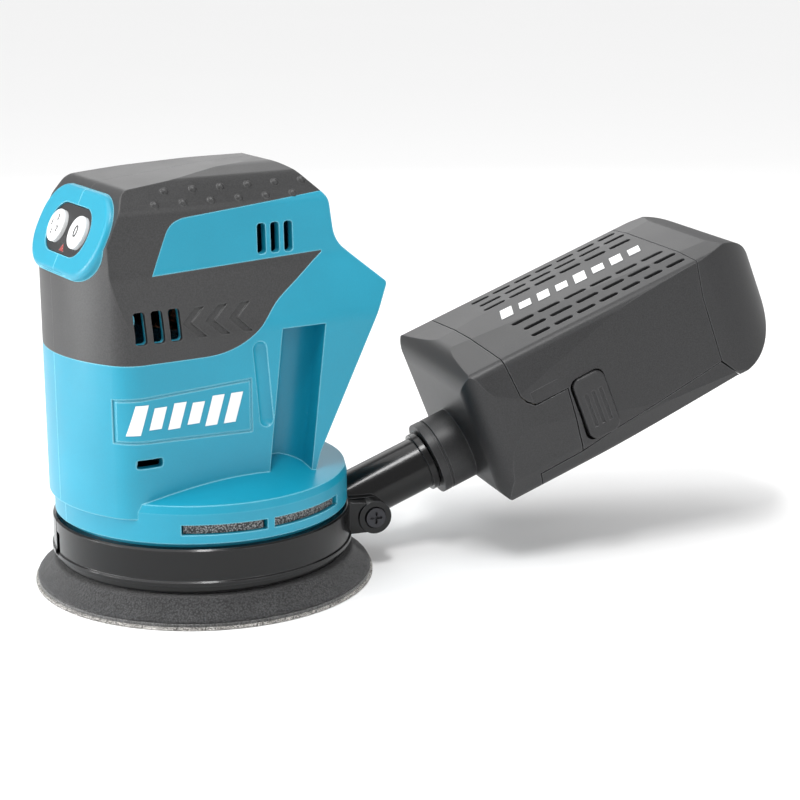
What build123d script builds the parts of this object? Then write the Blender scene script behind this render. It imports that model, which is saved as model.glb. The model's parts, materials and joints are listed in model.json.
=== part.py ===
from build123d import *
import math
import os

# Random orbit sander, cordless, with a clip-on dust box.  Millimetres.
# Z runs up the motor axis, z = 0 is the working face of the abrasive disc,
# -Y is the switch end, +Y the battery and dust side.

# --- driving dimensions -------------------------------------------------
disc_radius = 62.5
orbit_offset = 1.4
dust_hole_pcd_radius = 32.5
dust_hole_radius = 4.6
dust_hole_count = 8

hook_bottom = 1.0
foam_bottom = 2.0
foam_top = 9.2
plate_top = 12.0

skirt_bottom = 19.6
flange_bottom = 28.0
flange_radius = 53.8
ledge_height = 41.5
front_foot = 36.0
front_radius = 55.6
half_width = 35.5
wall = 3.4
skin = 1.8

rear_plane_angle = 26.6
rear_top = (60.0, 108.0)
panel_tilt = 26.0
panel_centre = (0.0, -48.35, 133.1)

ring_bottom = 10.2
ring_top = 26.2

nozzle_yaw = -11.8
box_pitch = 22.0
tube_drop = -1.8
tube_radius = 10.3
tube_bore_radius = 8.6
tube_end = 112.0

cap_front = 109.5
cap_seam = 125.5
box_end = 244.0
box_wall = 1.8
fit_gap = 0.35

shaft_radius = 4.0


# --- helpers ------------------------------------------------------------
def tube(outer, inner, low, high):
    """Plain ring on the motor axis."""
    body = Pos(0, 0, low) * Cylinder(outer, high - low, align=(Align.CENTER, Align.CENTER, Align.MIN))
    if inner > 0:
        body -= Pos(0, 0, low - 1) * Cylinder(inner, high - low + 2,
                                              align=(Align.CENTER, Align.CENTER, Align.MIN))
    return body


def turned(points):
    """Solid of revolution about Z from (radius, height) points."""
    outline = Plane.XZ * make_face(Polyline(*points, close=True))
    return revolve(outline, Axis.Z, 360)


def side_prism(points, half, low=None):
    """Outline of (y, z) points extruded across X, from low to half."""
    start = -half if low is None else low
    outline = Plane.YZ * make_face(Polyline(*points, close=True))
    return Pos(start, 0, 0) * extrude(outline, half - start, dir=(1, 0, 0))


def block(x0, x1, y0, y1, z0, z1):
    return Pos((x0 + x1) / 2, (y0 + y1) / 2, (z0 + z1) / 2) * Box(x1 - x0, y1 - y0, z1 - z0)


def polar(count, shape, start=0.0):
    """Copies of a shape turned about Z, as one list."""
    return [Rot(0, 0, start + 360.0 / count * k) * shape for k in range(count)]


def fused(shapes):
    total = shapes[0]
    for shape in shapes[1:]:
        total = total + shape
    return total


def on_pad(shape):
    """Moves a centred shape onto the pad's own axis."""
    return Pos(orbit_offset, 0, 0) * shape


def in_nozzle(shape):
    return Rot(0, 0, nozzle_yaw) * shape


def in_box(shape):
    """Box frame: X across, Y along the dust box, Z square to it."""
    return Rot(0, 0, nozzle_yaw) * Rot(box_pitch, 0, 0) * shape


def x_rod(radius, x0, x1, y, z):
    return Pos((x0 + x1) / 2, y, z) * Rot(0, 90, 0) * Cylinder(radius, abs(x1 - x0))


def y_rod(radius, y0, y1, x, z):
    return Pos(x, (y0 + y1) / 2, z) * Rot(90, 0, 0) * Cylinder(radius, abs(y1 - y0))


parts = {}


# --- sanding pad --------------------------------------------------------
def dust_holes(low, high, radius=dust_hole_radius):
    hole = Pos(dust_hole_pcd_radius, 0, (low + high) / 2) * Cylinder(radius, high - low)
    return polar(dust_hole_count, hole, 22.5)


def drilled(body, low, high, radius=dust_hole_radius):
    for hole in dust_holes(low - 1, high + 1, radius):
        body -= hole
    return body


def abrasive_disc():
    return drilled(tube(disc_radius, 0, 0, hook_bottom), 0, hook_bottom)


def hook_face():
    return drilled(tube(disc_radius - 0.8, 8.5, hook_bottom, foam_bottom), hook_bottom, foam_bottom)


def backing_pad():
    edge = [(8.5, foam_bottom), (61.6, foam_bottom), (62.0, 2.8), (61.0, 3.6), (58.6, 5.4),
            (56.4, 7.4), (55.0, foam_top), (8.5, foam_top)]
    return drilled(turned(edge), foam_bottom, foam_top)


def pad_plate():
    body = turned([(4.2, foam_top), (50.0, foam_top), (49.4, 11.2), (13.0, 11.2), (12.0, plate_top + 0.4),
                   (4.2, plate_top + 0.4)])
    return drilled(body, foam_top, plate_top, dust_hole_radius + 0.4)


def pad_spindle():
    body = turned([(0, plate_top + 0.4), (8.6, plate_top + 0.4), (8.6, 14.6), (7.4, 16.4), (6.0, 16.4),
                   (6.0, 24.6), (0, 24.6)])
    body -= Pos(0, 0, 17.0) * Cylinder(3.05, 10.0)
    return body


def pad_screw():
    head = turned([(0, 4.0), (5.6, 4.0), (5.6, 5.6), (5.2, 6.6), (0, 6.6)])
    shank = tube(3.0, 0, 6.0, 21.0)
    socket = extrude(Plane.XY.offset(3.5) * RegularPolygon(2.5, 6), 2.6)
    return head + shank - socket


def pad_washer():
    return tube(8.0, 3.2, 6.6, foam_top)


def bearing(outer, inner, low, high, ball_count):
    """Outer ring, inner ring and balls of a deep-groove bearing."""
    mid = (outer + inner) / 2
    ball = (outer - inner) * 0.27
    land = (outer - inner) * 0.28
    height = (low + high) / 2
    groove = Pos(0, 0, height) * Torus(mid, ball + 0.12)
    outer_ring = tube(outer, outer - land, low, high) - groove
    inner_ring = tube(inner + land, inner, low, high) - groove
    balls = polar(ball_count, Pos(mid, 0, height) * Sphere(ball))
    return outer_ring, inner_ring, Compound(balls)


pad_outer_ring, pad_inner_ring, pad_balls = bearing(14.0, 6.0, 16.5, 24.5, 8)
low_outer_ring, low_inner_ring, low_balls = bearing(13.0, 5.0, 30.0, 38.0, 7)
top_outer_ring, top_inner_ring, top_balls = bearing(9.5, 3.5, 112.0, 118.0, 7)

parts["abrasive_disc"] = on_pad(abrasive_disc())
parts["hook_face"] = on_pad(hook_face())
parts["backing_pad"] = on_pad(backing_pad())
parts["pad_plate"] = on_pad(pad_plate())
parts["pad_spindle"] = on_pad(pad_spindle())
parts["pad_screw"] = on_pad(pad_screw())
parts["pad_washer"] = on_pad(pad_washer())
parts["pad_bearing_inner"] = on_pad(pad_inner_ring)


# --- rotor --------------------------------------------------------------
def motor_shaft():
    return turned([(0, 25.2), (5.0, 25.2), (5.0, 41.0), (shaft_radius, 41.0), (shaft_radius, 111.8),
                   (3.5, 111.8), (3.5, 118.6), (3.0, 119.2), (0, 119.2)])


def eccentric_hub():
    cup = on_pad(tube(17.0, 14.0, 16.5, 24.6))
    web = tube(17.2, 0, 24.6, 26.6)
    boss = tube(8.2, 0, 26.0, 29.9)
    bore = tube(5.0, 0, 25.2, 31.0)
    return cup + web + boss - bore - on_pad(tube(14.0, 0, 15.0, 24.6))


def dust_fan():
    disc = tube(41.0, 19.2, 24.2, 25.5)
    blade = Pos(30.5, 0, 20.6) * Rot(0, 0, 32) * Box(18.0, 1.6, 8.0)
    collar = tube(21.4, 19.2, 17.0, 25.6)
    body = fused([disc, collar] + polar(9, blade))
    return body - tube(19.2, 0, 10, 30)


def counterweight():
    """Half ring opposite the orbit offset."""
    half = tube(34.0, 17.3, 25.7, 26.6)
    return half - block(0, 60, -60, 60, 0, 60)


def cooling_fan():
    hub = tube(10.0, 5.0, 38.6, 46.0)
    disc = tube(38.0, 9.0, 39.4, 40.6)
    blade = Pos(29.0, 0, 37.2) * Rot(0, 0, -30) * Box(15.0, 1.5, 4.8)
    return fused([hub, disc] + polar(13, blade)) - tube(5.0, 0, 30, 50)


def armature_core():
    core = tube(19.2, shaft_radius, 54.0, 88.0)
    slot = Pos(17.4, 0, 71.0) * Box(6.0, 2.0, 36.0)
    for cut in polar(12, slot):
        core -= cut
    return core


def armature_windings():
    lower = turned([(6.0, 48.6), (15.5, 48.6), (17.4, 50.4), (17.4, 54.0), (5.0, 54.0), (5.0, 49.6)])
    upper = turned([(5.0, 88.0), (17.4, 88.0), (17.4, 92.0), (15.0, 94.6), (8.0, 95.4), (5.0, 95.4)])
    return Compound([lower, upper])


def commutator():
    body = tube(9.2, shaft_radius, 96.4, 107.6) + tube(10.2, shaft_radius, 96.4, 98.2)
    slit = Pos(9.6, 0, 103.2) * Box(1.4, 0.5, 10.0)
    for cut in polar(18, slit):
        body -= cut
    return body


parts["motor_shaft"] = motor_shaft()
parts["eccentric_hub"] = eccentric_hub()
parts["pad_bearing_outer"] = on_pad(pad_outer_ring)
parts["pad_bearing_balls"] = on_pad(pad_balls)
parts["dust_fan"] = dust_fan()
parts["counterweight"] = counterweight()
parts["cooling_fan"] = cooling_fan()
parts["armature_core"] = armature_core()
parts["armature_windings"] = armature_windings()
parts["commutator"] = commutator()
parts["lower_bearing_inner"] = low_inner_ring
parts["upper_bearing_inner"] = top_inner_ring


# --- motor and frame inside the housing -----------------------------------
plate_screw_radius = 44.6
plate_screw_start = 45.0


def bearing_plate():
    body = tube(50.4, 9.4, 27.0, 29.4) + tube(16.0, 9.4, 27.0, 29.9) + tube(16.0, 13.0, 28.0, 38.2)
    for hole in polar(4, Pos(plate_screw_radius, 0, 28) * Cylinder(1.6, 8), plate_screw_start):
        body -= hole
    return body


def plate_screws():
    cross = Box(4.0, 0.7, 1.0) + Box(0.7, 4.0, 1.0)
    head = tube(3.0, 0, 24.9, 27.0) - Pos(0, 0, 25.2) * cross
    shank = tube(1.5, 0, 26.5, 36.0)
    return Compound(polar(4, Pos(plate_screw_radius, 0, 0) * (head + shank), plate_screw_start))


def motor_yoke():
    can = tube(25.0, 22.9, 48.2, 97.0)
    return can - block(-30, 30, -5.0, 5.0, 92.0, 98.0)


def magnets():
    shell = tube(22.9, 19.9, 52.0, 90.0)
    gap = block(-8.0, 8.0, -30, 30, 40, 100)
    halves = shell - gap
    return halves


def brush_holders():
    right = block(11.2, 26.0, -5.4, 5.4, 98.0, 107.4) - block(10.0, 27.0, -3.2, 3.2, 99.6, 105.8)
    return Compound([right, Rot(0, 0, 180) * right])


def carbon_brushes():
    right = block(9.0, 20.0, -3.1, 3.1, 99.7, 105.7) - tube(9.32, 0, 90, 120)
    return Compound([right, Rot(0, 0, 180) * right])


def brush_springs():
    coil = Pos(22.8, 0, 102.7) * Cylinder(2.6, 5.6) - Pos(22.8, 0, 102.7) * Cylinder(2.0, 6.6)
    arm = block(20.1, 20.6, -2.6, 2.6, 100.0, 105.4)
    right = coil + arm
    return Compound([right, Rot(0, 0, 180) * right])


parts["bearing_plate"] = bearing_plate()
parts["plate_screws"] = plate_screws()
parts["lower_bearing_outer"] = low_outer_ring
parts["lower_bearing_balls"] = low_balls
parts["upper_bearing_outer"] = top_outer_ring
parts["upper_bearing_balls"] = top_balls
parts["motor_yoke"] = motor_yoke()
parts["magnets"] = magnets()
parts["brush_holders"] = brush_holders()
parts["carbon_brushes"] = carbon_brushes()
parts["brush_springs"] = brush_springs()


# --- outer body -----------------------------------------------------------
tan_rear = math.tan(math.radians(rear_plane_angle))


def rear_y(height):
    return rear_top[0] + (height - rear_top[1]) * tan_rear


def panel_y(height, depth=0.0):
    """Y of the switch panel plane at a height, set back by depth."""
    slope = math.tan(math.radians(panel_tilt))
    return panel_centre[1] + (height - panel_centre[2]) * slope + depth / math.cos(math.radians(panel_tilt))


def corner_of(face, spot):
    """The corner of a flat face nearest to a point."""
    return face.vertices().sort_by(lambda p: (p.X - spot[0]) ** 2 + (p.Y - spot[1]) ** 2)[0]


def rounded(corners):
    """Closed outline from (u, v, radius) corners, each rounded by its own radius."""
    face = make_face(Polyline(*[(u, v) for u, v, _ in corners], close=True))
    for u, v, radius in corners:
        if radius > 0:
            face = fillet(corner_of(face, (u, v)), radius)
    return face


def side_outline(inset):
    """Side view of the housing above the ledge."""
    i = inset
    return rounded([(-58.0, front_foot + i, 0), (-58.0, 118.0, 0), (panel_y(119.5, 2.0 + i), 119.5, 0),
                    (panel_y(148.6 - i, 2.0 + i), 148.6 - i, 5.0), (2.0, 152.8 - i, 60.0),
                    (26.0, 153.8 - i, 9.0), (38.4 - i, 141.0, 8.0), (40.4 - i, 125.6, 12.0),
                    (rear_top[0] - 3.4 - i, 112.2 - i, 2.2), (rear_y(109.0) - i, 109.0, 1.6),
                    (rear_y(50.0) - i, 50.0, 0), (rear_y(44.0) - i, 40.0, 0), (10.0, front_foot + i, 0)])


def head_outline(inset):
    """Front view of the housing, one side of the split plane."""
    i = inset
    edge = half_width - i
    return rounded([(0, 20.0, 0), (edge, 20.0, 0), (edge, 99.0, 22.0), (30.2 - i, 120.5, 16.0),
                    (29.4 - i, 141.6 - i * 0.5, 5.0), (22.6 - i * 0.6, 150.4 - i * 0.8, 6.0),
                    (12.0, 153.2 - i, 20.0), (0, 153.9 - i, 0)])


def plan_outline(inset):
    """Plan of the motor column and battery plate, one side of the split plane."""
    front = front_radius - inset
    edge = half_width - inset
    corner = math.sqrt(front ** 2 - edge ** 2)
    turn = math.radians(15.0)
    outline = ThreePointArc((0, -front), (front * math.sin(turn), -front * math.cos(turn)), (edge, -corner))
    outline = outline + Polyline((edge, -corner), (edge, 80.0), (0, 80.0), (0, -front))
    face = make_face(outline)
    sharp = [v for v in face.vertices() if abs(v.X - edge) < 0.01 and v.Y < 0]
    return fillet(sharp, 12.0)


def valley(inset):
    """Finger valley between the motor column and the battery plate."""
    radius = 8.6 + inset
    lean = math.degrees(math.atan2(6.6, 56.0))
    bore = Cylinder(radius, 120.0) + Pos(12.0, 0, 0) * Box(24.0, radius * 2, 120.0)
    path = Pos(29.6, 21.6, 70.0) * Rot(-lean, 0, 0) * bore
    top = 101.0 + inset
    path = path & block(0, 60, -40, 80, 20, top - 4.0)
    return path + Pos(29.6, 25.0, top - 4.0) * Cylinder(radius, 0.02)


def body_half(inset):
    """Column, neck, battery plate and head on the +X side, every face moved in by inset."""
    prism = extrude(Plane.YZ * side_outline(inset), half_width + 2.0, dir=(1, 0, 0))
    front = Pos(0, 90, 0) * extrude(Plane.XZ * head_outline(inset), 180, dir=(0, -1, 0))
    plan = Pos(0, 0, 20.0) * extrude(plan_outline(inset), 140)
    return (prism & front & plan) - valley(inset)


def flange(inset):
    """Round fan housing at the foot, with its sloping ledge."""
    i = inset
    return turned([(0, flange_bottom - 0.01), (flange_radius - i, flange_bottom - 0.01),
                   (flange_radius - i, 38.6), (flange_radius - 0.8 - i, ledge_height - i * 0.6),
                   (30.0, 47.2 - i), (0, 47.2 - i)])


def skirt():
    """Lower neck that the dust nozzle clamps round, with its retaining lip."""
    neck = turned([(48.6, skirt_bottom), (52.3, skirt_bottom), (52.3, 21.4), (51.2, 22.0),
                   (51.2, flange_bottom + 0.5), (flange_radius - wall, flange_bottom + 0.5),
                   (flange_radius - wall, flange_bottom - 1.0), (48.6, flange_bottom - 1.6)])
    window = in_nozzle(block(-24, 24, 30, 60, skirt_bottom - 1, 26.0))
    return neck - window


panel_plane = Plane(panel_centre, x_dir=(1, 0, 0),
                    z_dir=(0, -math.cos(math.radians(panel_tilt)), math.sin(math.radians(panel_tilt))))


def panel_slab(width, height, radius, front, depth, shift=0.0):
    """Rounded slab square to the switch panel, from front back to depth."""
    outline = Pos(0, shift) * RectangleRounded(width, height, radius)
    return extrude(panel_plane.offset(front) * outline, -(depth + front))


def bezel():
    body = panel_slab(57.0, 31.6, 14.6, 0.0, 12.0)
    front = [e for e in body.edges() if abs(panel_plane.to_local_coords(e).center().Z) < 0.05]
    body = fillet(front, 2.2)
    return body


def black_outline():
    """Side view of the soft grip: everything below the side panel and above the blue column."""
    lower = Spline((-15.0, 90.6), (0.0, 93.6), (8.0, 99.0), (14.5, 106.5), (20.9, 111.5), (34.8, 122.0),
                   tangents=((1, 0), (1, 0.75)))
    outline = Polyline((34.8, 122.0), (34.8, 122.6), (-31.0, 119.6), (-26.0, 132.0)) \
        + Spline((-26.0, 132.0), (-23.4, 136.4), (-17.0, 138.8), tangents=((0.4, 1), (1, 0.09))) \
        + Polyline((-17.0, 138.8), (30.0, 143.0), (37.0, 143.6), (39.0, 160.0), (-70.0, 160.0),
                   (-70.0, 90.4), (-15.0, 90.6))
    return make_face(outline + lower)


def black_region(margin=0.0):
    return Pos(-60, 0, 0) * extrude(Plane.YZ * black_outline(), 120, dir=(1, 0, 0))


def slot(y0, y1, z0, z1, x0, x1, radius):
    """Rounded slot cut straight through a side wall."""
    outline = Pos((y0 + y1) / 2, (z0 + z1) / 2) * RectangleRounded(y1 - y0, z1 - z0, radius)
    return Pos(x0, 0, 0) * extrude(Plane.YZ * outline, x1 - x0, dir=(1, 0, 0))


def side_vents():
    """Air slots in one side: three in the panel, three in the grip, one by the label."""
    cuts = [slot(c - 1.7, c + 1.7, 123.4, 134.2, 15, 50, 1.2) for c in (11.2, 16.5, 21.8)]
    cuts += [slot(c - 2.2, c + 2.2, 97.4, 108.4, 15, 50, 1.2) for c in (-37.8, -31.2, -24.8)]
    cuts += [slot(-41.0, -31.4, 54.0, 57.2, 22, 50, 1.0)]
    return cuts


def fan_slots():
    """Two long exhaust slots round each side of the flange."""
    band = tube(60.0, 46.0, 31.2, 34.8)
    long_cut = band & wedge(-33.5, -0.8)
    rear_cut = band & wedge(2.2, 39.0)
    return [long_cut, rear_cut]


def wedge(start, end):
    """Sector of a disc between two angles, tall enough for any cut."""
    reach = 90.0
    mid = (start + end) / 2
    points = [(0, 0)] + [(reach * math.cos(math.radians(a)), reach * math.sin(math.radians(a)))
                         for a in (start, mid, end)]
    return extrude(make_face(Polyline(*points, close=True)), 200)


right_side = block(0, 90, -90, 130, -5, 200)
outer_half = body_half(0.0)
skin_half = body_half(skin)
inner_half = body_half(wall)
flange_half = flange(0.0) & right_side
hollow_half = inner_half + (flange(wall) & right_side)
frame_half = (outer_half + flange_half) - hollow_half + (skirt() & right_side)
band = black_region() & outer_half
grip_half = band - skin_half - flange_half - panel_slab(57.3, 31.9, 14.7, 3.0, 13.0)
bezel_half = (bezel() & right_side) - panel_slab(50.0, 24.6, 11.2, -6.5, 20.0)
blue = frame_half - grip_half
blue = blue - panel_slab(50.0, 24.6, 11.2, 3.0, 20.0) + bezel_half
blue = blue - panel_slab(34.4, 18.0, 8.6, 3.0, 20.0)
for cut in side_vents():
    blue = blue - cut
    grip_half = grip_half - cut
for cut in fan_slots():
    blue = blue - cut


# --- raised and sunk details on the sides ------------------------------------
def across(face):
    return Pos(20.0, 0, 0) * extrude(Plane.YZ * face, 30.0, dir=(1, 0, 0))


def chevron(tip):
    """One arrow of the grip pattern, pointing forward."""
    points = [(tip, 102.9), (tip + 5.6, 108.0), (tip + 9.0, 108.0), (tip + 3.4, 102.9), (tip + 9.0, 97.8),
              (tip + 5.6, 97.8)]
    return across(make_face(Polyline(*points, close=True)))


def label_border():
    """Thin sunk line round the label area, a little lower at the rear end."""
    outer = Polyline((-47.0, 63.2), (3.4, 61.4), (3.4, 80.8), (-47.0, 78.6), close=True)
    inner = Polyline((-46.2, 64.0), (2.6, 62.3), (2.6, 79.9), (-46.2, 77.8), close=True)
    return across(make_face(outer) - make_face(inner))


def grip_bumps():
    """Two staggered rows of round bumps on the sloping shoulder of the grip."""
    bumps = []
    for row, (x, z) in enumerate(((27.6, 143.3), (24.6, 147.2))):
        for k in range(6):
            bumps.append(Pos(x, -28.0 + row * 5.0 + 10.6 * k, z) * Sphere(1.5))
    return bumps


def side_dent():
    """Long thumb dent behind the label."""
    pill = Cylinder(3.2, 26.0) + Pos(0, 0, 13.0) * Sphere(3.2) + Pos(0, 0, -13.0) * Sphere(3.2)
    return Pos(half_width + 1.7, 8.0, 78.0) * Rot(5, 0, 0) * pill


shallow_half = body_half(0.6)
for tip in (-22.2, -13.4, -4.6):
    grip_half = grip_half - (chevron(tip) - shallow_half)
blue = blue - (label_border() - body_half(0.4)) - side_dent()
for bump in grip_bumps():
    grip_half = grip_half + bump


# --- battery seat, ribs and screw bosses ------------------------------------
rear_lean = math.radians(rear_plane_angle)
rear_plane = Plane((0, rear_top[0], rear_top[1]), x_dir=(1, 0, 0),
                   z_dir=(0, math.cos(rear_lean), -math.sin(rear_lean)))
channel_depth = 7.0
channel_length = 54.0


def rear_block(x0, x1, down0, down1, deep, proud):
    """Box on the battery face: down runs along the face from its top, deep is into the body."""
    local = block(x0, x1, down0, down1, -deep, proud)
    return rear_plane.location * local


def battery_channel():
    """Undercut guide that the battery's rails slide down, open at the top."""
    mouth = rear_block(-24.0, 24.0, -14.0, channel_length, channel_depth, 3.0)
    undercut = rear_block(-28.5, 28.5, -14.0, channel_length, channel_depth, -3.2)
    catch = rear_block(-9.0, 9.0, 3.0, 7.0, channel_depth + 2.4, -6.0)
    return mouth + undercut + catch


def terminal_pocket():
    return rear_block(-15.2, 15.2, 31.8, 54.2, channel_depth + 6.0, -5.0)


screw_spots = [(-44.0, 56.0), (-43.0, 106.0), (45.5, 38.0), (24.0, 108.0), (40.0, 104.0), (22.0, 142.0),
               (-20.0, 142.0)]
screw_head_x = -13.4


def left_bosses():
    return [x_rod(4.2, 0.0, 40.0, y, z) for y, z in screw_spots]


def right_bosses():
    return [x_rod(5.2, -40.0, 0.0, y, z) for y, z in screw_spots]


def motor_ribs():
    """Cross walls that hold the motor can and the top bearing."""
    ribs = []
    for low in (62.0, 84.0):
        ribs.append(block(0, 40, -60, 14, low, low + 2.2) - tube(25.05, 0, 50, 100))
    seat = tube(13.0, 9.5, 111.6, 118.4) + (block(0, 40, -12, 12, 113.4, 115.6) - tube(12.0, 0, 100, 130))
    ribs.append(seat & right_side)
    return ribs


rear_wall = side_prism([(rear_y(170.0) - 13.0, 170.0), (rear_y(56.0) - 13.0, 56.0),
                        (120.0, 56.0), (120.0, 170.0)],
                       60.0, 0.0)
solid_tail = (outer_half & rear_wall) - tube(25.4, 0, 50, 98)
plain_half = (blue + (solid_tail - grip_half)) - battery_channel() - terminal_pocket()
ribbed = plain_half
for rib in motor_ribs():
    ribbed = ribbed + (rib & inner_half)
plate_bosses = [Pos(plate_screw_radius, 0, 0) * tube(3.6, 1.5, 29.5, 42.5)]
boss_ring = polar(4, plate_bosses[0], plate_screw_start)
for boss in boss_ring:
    ribbed = ribbed + (boss & (flange(0.6) & right_side))
solid_half = skin_half + (flange(0.6) & right_side)
housing_left = ribbed
housing_right = mirror(ribbed, about=Plane.YZ)
for boss in left_bosses():
    housing_left = housing_left + ((boss & solid_half) - battery_channel())
for boss in right_bosses():
    inside = boss & mirror(solid_half, about=Plane.YZ)
    housing_right = housing_right + (inside - battery_channel())
housing_left = housing_left - tube(25.08, 0, 48.0, 97.2)
housing_right = housing_right - tube(25.08, 0, 48.0, 97.2)
housing_left = housing_left - tube(9.5, 0, 111.0, 119.4)
housing_right = housing_right - tube(9.5, 0, 111.0, 119.4)
grip_right = mirror(grip_half, about=Plane.YZ)
for y, z in screw_spots:
    housing_left = housing_left - x_rod(1.5, -1.0, 12.4, y, z)
    housing_right = housing_right - x_rod(1.7, -14.0, 1.0, y, z) - x_rod(3.5, -60.0, screw_head_x, y, z)
    grip_right = grip_right - x_rod(3.5, -60.0, screw_head_x, y, z)


def housing_screws():
    screws = []
    for y, z in screw_spots:
        head = x_rod(3.2, screw_head_x - 2.4, screw_head_x, y, z)
        recess = Pos(screw_head_x - 2.4, y, z) * (Box(2.4, 0.8, 3.6) + Box(2.4, 3.6, 0.8))
        screws.append(head - recess + x_rod(1.48, screw_head_x, 11.6, y, z))
    return Compound(screws)


parts["housing_left"] = housing_left
parts["housing_right"] = housing_right
parts["grip_left"] = grip_half
parts["grip_right"] = grip_right
parts["housing_screws"] = housing_screws()


# --- battery terminals ------------------------------------------------------
def terminal_block():
    base = rear_block(-15.0, 15.0, 32.0, 54.0, channel_depth + 4.0, -5.2)
    for x in (-9.5, 0.0, 9.5):
        base = base - rear_block(x - 0.45, x + 0.45, 30.0, 50.0, 8.6, 0.0)
    return base


def terminal_blades():
    blades = []
    for x, top in ((-9.5, 24.0), (9.5, 24.0), (0.0, 28.0)):
        blades.append(rear_block(x - 0.42, x + 0.42, top, 34.0, 6.6, -1.6)
                      + rear_block(x - 0.42, x + 0.42, 33.0, 49.6, 8.4, -1.6))
    return Compound(blades)


parts["terminal_block"] = terminal_block()
parts["terminal_blades"] = terminal_blades()


# --- switch panel -----------------------------------------------------------
button_spacing = 9.2
button_radius = 6.0


def on_panel(x, y, radius, front, depth):
    disc = extrude(panel_plane.offset(front) * (Pos(x, y) * Circle(radius)), -(depth + front))
    return disc


def switch_plate():
    plate = panel_slab(34.0, 17.6, 8.4, -0.5, 3.2)
    lip = panel_slab(38.0, 20.4, 9.8, -3.2, 4.4)
    body = plate + lip
    for x in (-button_spacing, button_spacing):
        body = body - on_panel(x, 0, button_radius + 0.25, 1.0, 6.0)
        body = body - on_panel(x, 0, button_radius + 1.5, -3.6, 6.0)
    return body - indicator(0.0)


def indicator(shrink):
    """Small triangular light under the buttons."""
    reach = 1.9 - shrink
    outline = Polyline((-reach, -8.0 + shrink), (reach, -8.0 + shrink), (0, -5.2 - shrink), close=True)
    return extrude(panel_plane.offset(-0.4) * make_face(outline), -2.4)


def button(x):
    cap = on_panel(x, 0, button_radius, 1.2, 3.9)
    rim = [e for e in cap.edges() if abs(panel_plane.to_local_coords(e).center().Z - 1.2) < 0.05]
    return fillet(rim, 0.7) + on_panel(x, 0, button_radius + 1.1, -3.7, 4.5)


def switch_board():
    return panel_slab(40.0, 21.0, 3.0, -9.4, 11.0)


def button_switches():
    cells = []
    for x in (-button_spacing, button_spacing):
        cell = extrude(panel_plane.offset(-6.6) * (Pos(x, 0) * Rectangle(6.2, 6.2)), -2.8)
        cells.append(cell + on_panel(x, 0, 1.7, -5.5, 7.0))
    return Compound(cells)


housing_left = housing_left - panel_slab(38.4, 20.8, 10.0, -3.0, 12.0)
housing_right = housing_right - panel_slab(38.4, 20.8, 10.0, -3.0, 12.0)
parts["housing_left"] = housing_left
parts["housing_right"] = housing_right
parts["switch_plate"] = switch_plate()
parts["indicator_lens"] = indicator(0.08)
parts["on_button"] = button(-button_spacing)
parts["off_button"] = button(button_spacing)
parts["switch_board"] = switch_board()
parts["button_switches"] = button_switches()


# --- electronics and leads --------------------------------------------------
def control_board():
    return block(-19.0, 19.0, -22.0, 12.0, 124.0, 125.6)


def board_parts():
    """Smoothing capacitor, two transistors and their heat sink."""
    capacitor = Pos(-9.0, -8.0, 131.8) * Cylinder(5.0, 12.2)
    sink = block(2.0, 15.0, 4.0, 6.0, 125.7, 138.0)
    first = block(3.0, 8.0, 1.6, 3.9, 125.7, 133.0)
    second = block(9.4, 14.4, 1.6, 3.9, 125.7, 133.0)
    return Compound([capacitor, sink, first, second])


def lead(points, radius, bend):
    path = FilletPolyline(*points, radius=bend)
    start = path ^ 0
    return sweep(Plane(start.position, z_dir=path % 0) * Circle(radius), path=path)


def battery_leads():
    pair = []
    for side in (-1, 1):
        pair.append(lead([(side * 6.0, 34.2, 82.7), (side * 6.0, 32.0, 88.0), (side * 6.0, 32.0, 112.0),
                          (side * 12.0, 9.0, 119.6), (side * 12.0, 9.0, 123.9)], 1.1, 2.4))
    return Compound(pair)


def motor_leads():
    pair = []
    for side in (-1, 1):
        pair.append(lead([(side * 27.2, 0.0, 103.0), (side * 28.4, 0.0, 108.0), (side * 22.0, -14.0, 112.0),
                          (side * 17.0, -18.0, 119.0), (side * 17.0, -18.0, 123.8)], 1.0, 3.5))
    return Compound(pair)


parts["control_board"] = control_board()
parts["board_parts"] = board_parts()
parts["battery_leads"] = battery_leads()
parts["motor_leads"] = motor_leads()


# --- dust nozzle ------------------------------------------------------------
band_joint = -84.0
band_end = 75.0
clamp_y = 61.4
clamp_z = 19.4


def sector(start, end):
    """Sector in the nozzle frame between two angles, tall enough for any cut."""
    reach = 120.0
    count = max(2, int((end - start) / 40) + 1)
    angles = [start + (end - start) * k / count for k in range(count + 1)]
    rim = [(reach * math.cos(math.radians(a)), reach * math.sin(math.radians(a))) for a in angles]
    points = [(0, 0)] + rim
    return extrude(make_face(Polyline(*points, close=True)), 60)


def clamp_ring():
    return turned([(51.6, ring_bottom), (53.6, ring_bottom), (53.9, 12.4), (55.4, 12.9), (55.4, 14.2),
                   (54.8, 14.7), (54.8, 25.6), (54.2, ring_top), (51.6, ring_top), (51.6, 22.8), (52.7, 22.2),
                   (52.7, 19.2), (51.6, 19.0)])


def straight_tube(outer, inner, start, end):
    body = Pos(0, 0, tube_drop) * y_rod(outer, start, end, 0, 0)
    if inner > 0:
        body = body - Pos(0, 0, tube_drop) * y_rod(inner, start - 1, end + 1, 0, 0)
    return body


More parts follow.
